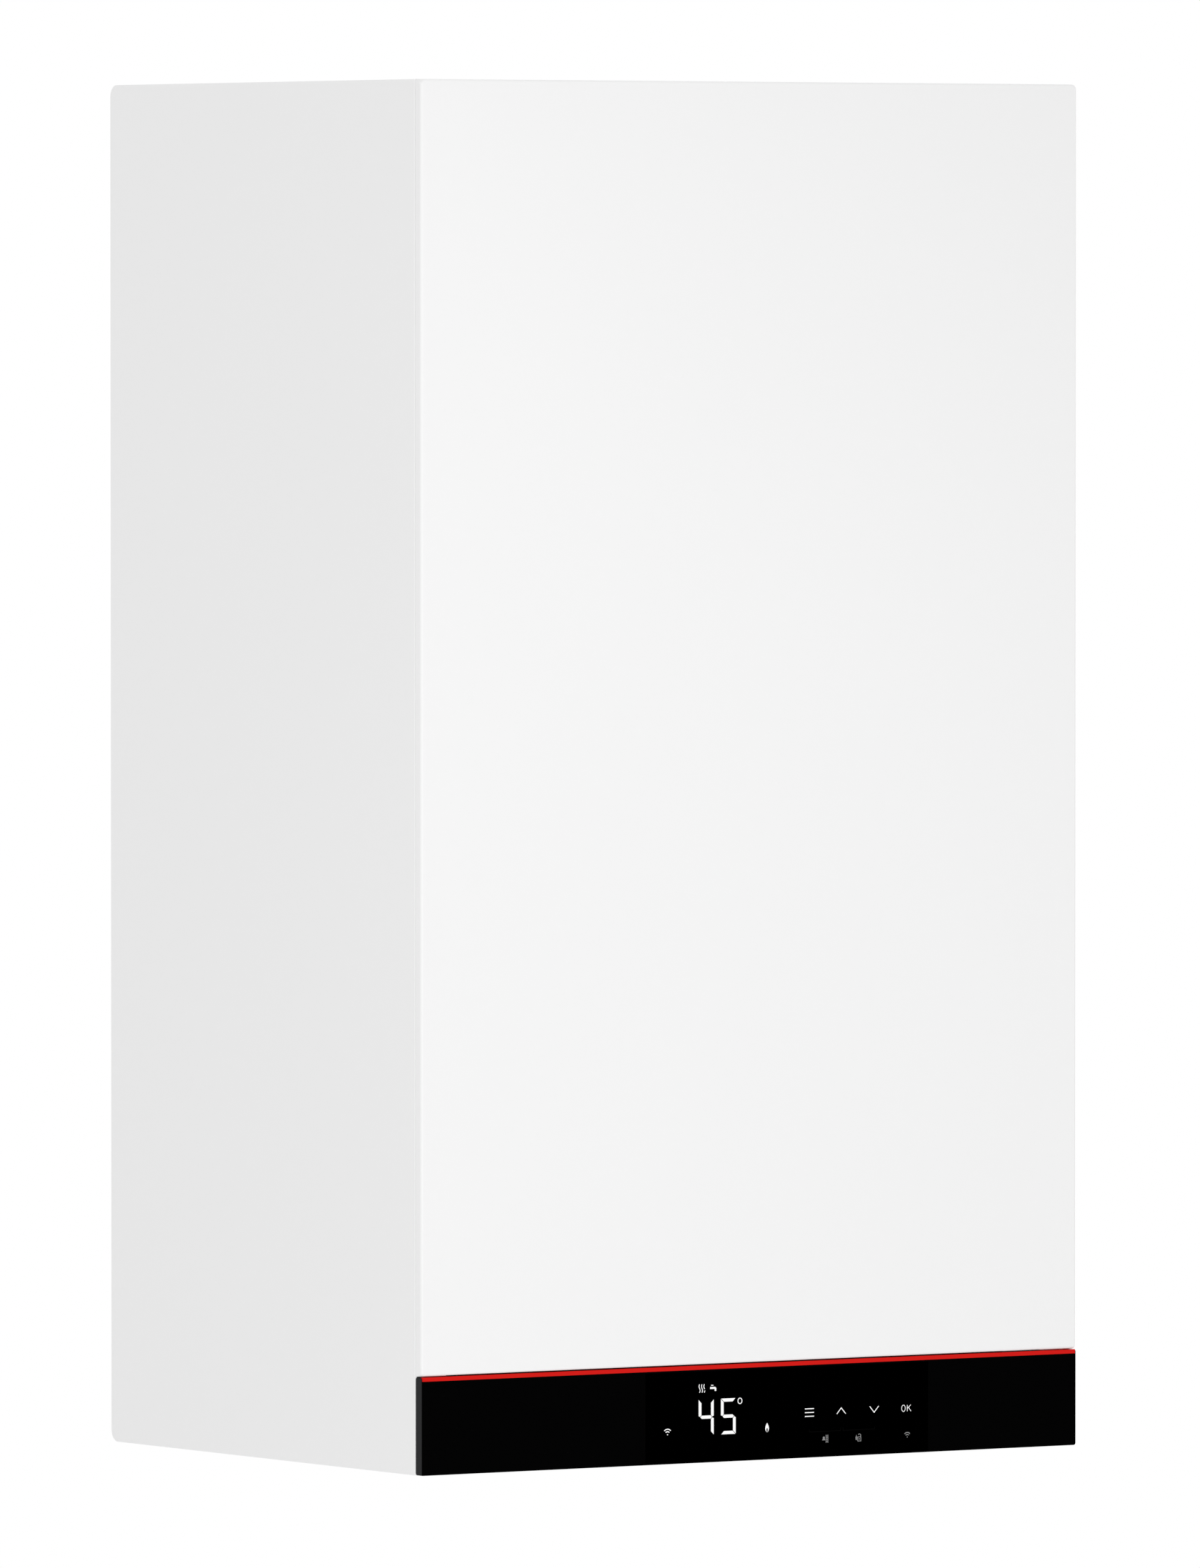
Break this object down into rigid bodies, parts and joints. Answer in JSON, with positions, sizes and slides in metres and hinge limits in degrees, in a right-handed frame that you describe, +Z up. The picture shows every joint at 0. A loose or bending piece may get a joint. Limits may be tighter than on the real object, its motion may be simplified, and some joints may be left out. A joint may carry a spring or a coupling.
{
  "type": "combi boiler",
  "caption": "Wall-hung gas combi boiler: white casing with lift-off front cover, black fold-down control panel with red line, and burner, fan, pump and water circuit inside.",
  "frame": {"origin": "on the wall, behind the middle of the hanging bracket, 640 mm above the casing's lower edge", "axes": "+X to the right as seen from the front, +Y into the wall (the front faces -Y), +Z up"},
  "size_m": [0.4, 0.297, 0.7],
  "materials": {
    "casing_white": "fine satin powder coat",
    "zinc_sheet": "galvanised sheet",
    "steel": "plain steel",
    "fascia_black": "deep gloss black",
    "display_black": "polished black window with lit signs",
    "accent_red": "satin red",
    "dark_plastic": "moulded",
    "rubber": "matt",
    "foam": "open foam mat",
    "cast_aluminium": "die cast",
    "copper": "drawn copper tube",
    "brass": "hot pressed",
    "ceramic": "matt",
    "vessel_red": "painted",
    "circuit_board": "lacquered board",
    "grey_plastic": "moulded"
  },
  "bodies": {
    "casing": {"wall_bracket": "zinc_sheet", "rear_panel": "zinc_sheet", "side_panel_left": "casing_white", "side_panel_right": "casing_white", "top_panel": "casing_white", "bottom_tray": "zinc_sheet", "front_cross_rail": "zinc_sheet", "hinge_pin_left": "steel", "hinge_pin_right": "steel", "heat_cell_housing": "cast_aluminium", "heat_exchanger_coil": "steel", "burner": "steel", "burner_door": "cast_aluminium", "door_gasket": "foam", "door_insulation": "ceramic", "ignition_electrode": "ceramic", "flue_duct": "dark_plastic", "flue_socket": "dark_plastic", "fan_housing": "cast_aluminium", "fan_motor": "dark_plastic", "venturi_mixer": "dark_plastic", "gas_valve": "cast_aluminium", "gas_pipe": "steel", "gas_injector_pipe": "steel", "mixture_elbow": "dark_plastic", "ignition_unit": "dark_plastic", "flow_manifold": "brass", "return_manifold": "brass", "plate_heat_exchanger": "steel", "pump_body": "grey_plastic", "pump_motor": "dark_plastic", "air_vent": "grey_plastic", "diverter_valve": "brass", "diverter_motor": "dark_plastic", "expansion_vessel": "vessel_red", "vessel_pipe": "copper", "flow_pipe": "copper", "return_pipe": "copper", "pressure_sensor": "brass", "safety_valve": "brass", "condensate_trap": "grey_plastic", "condensate_hose": "rubber"},
    "front_cover": {"front_cover": "casing_white", "cover_gasket": "rubber", "cover_insulation": "foam"},
    "cover_screw_left": {"cover_screw_left": "steel"},
    "cover_screw_right": {"cover_screw_right": "steel"},
    "control_panel": {"fascia": "fascia_black", "accent_strip": "accent_red", "display_glass": "display_black", "display_board": "circuit_board", "control_housing": "dark_plastic", "main_board": "circuit_board"},
    "fan_wheel": {"fan_impeller": "dark_plastic"},
    "pump_wheel": {"pump_rotor": "grey_plastic"},
    "diverter_stem": {"diverter_stem": "steel"},
    "safety_knob": {"safety_valve_knob": "accent_red"},
    "trap_cup": {"trap_cup": "dark_plastic"},
    "flow_turbine": {"flow_turbine": "grey_plastic"}
  },
  "joints": [
    {"name": "front_cover_lift", "type": "slide", "parent": "casing", "child": "front_cover", "axis": [0, 0, 1], "range_m": [0, 0.66]},
    {"name": "cover_screw_left_turn", "type": "hinge", "parent": "casing", "child": "cover_screw_left", "pos_m": [-0.15, -0.283, -0.59], "axis": [0, 0, 1], "range_deg": [0, 90]},
    {"name": "cover_screw_right_turn", "type": "hinge", "parent": "casing", "child": "cover_screw_right", "pos_m": [0.15, -0.283, -0.59], "axis": [0, 0, 1], "range_deg": [0, 90]},
    {"name": "control_panel_pivot", "type": "hinge", "parent": "casing", "child": "control_panel", "pos_m": [0, -0.25, -0.634], "axis": [1, 0, 0], "range_deg": [0, 90]},
    {"name": "fan_spin", "type": "hinge", "parent": "casing", "child": "fan_wheel", "pos_m": [0.062, -0.225, -0.3], "axis": [0, 1, 0], "continuous": true},
    {"name": "pump_spin", "type": "hinge", "parent": "casing", "child": "pump_wheel", "pos_m": [0.135, -0.13, -0.49], "axis": [0, 1, 0], "continuous": true},
    {"name": "diverter_stroke", "type": "slide", "parent": "casing", "child": "diverter_stem", "axis": [0, 1, 0], "range_m": [0, 0.007]},
    {"name": "safety_knob_turn", "type": "hinge", "parent": "casing", "child": "safety_knob", "pos_m": [0.1443, -0.135, -0.565], "axis": [0, 1, 0], "range_deg": [0, 90]},
    {"name": "trap_cup_turn", "type": "hinge", "parent": "casing", "child": "trap_cup", "pos_m": [-0.165, -0.07, -0.625], "axis": [0, 0, 1], "range_deg": [0, 90]},
    {"name": "flow_turbine_spin", "type": "hinge", "parent": "casing", "child": "flow_turbine", "pos_m": [0.035, -0.11, -0.61], "axis": [0, 0, 1], "continuous": true}
  ]
}
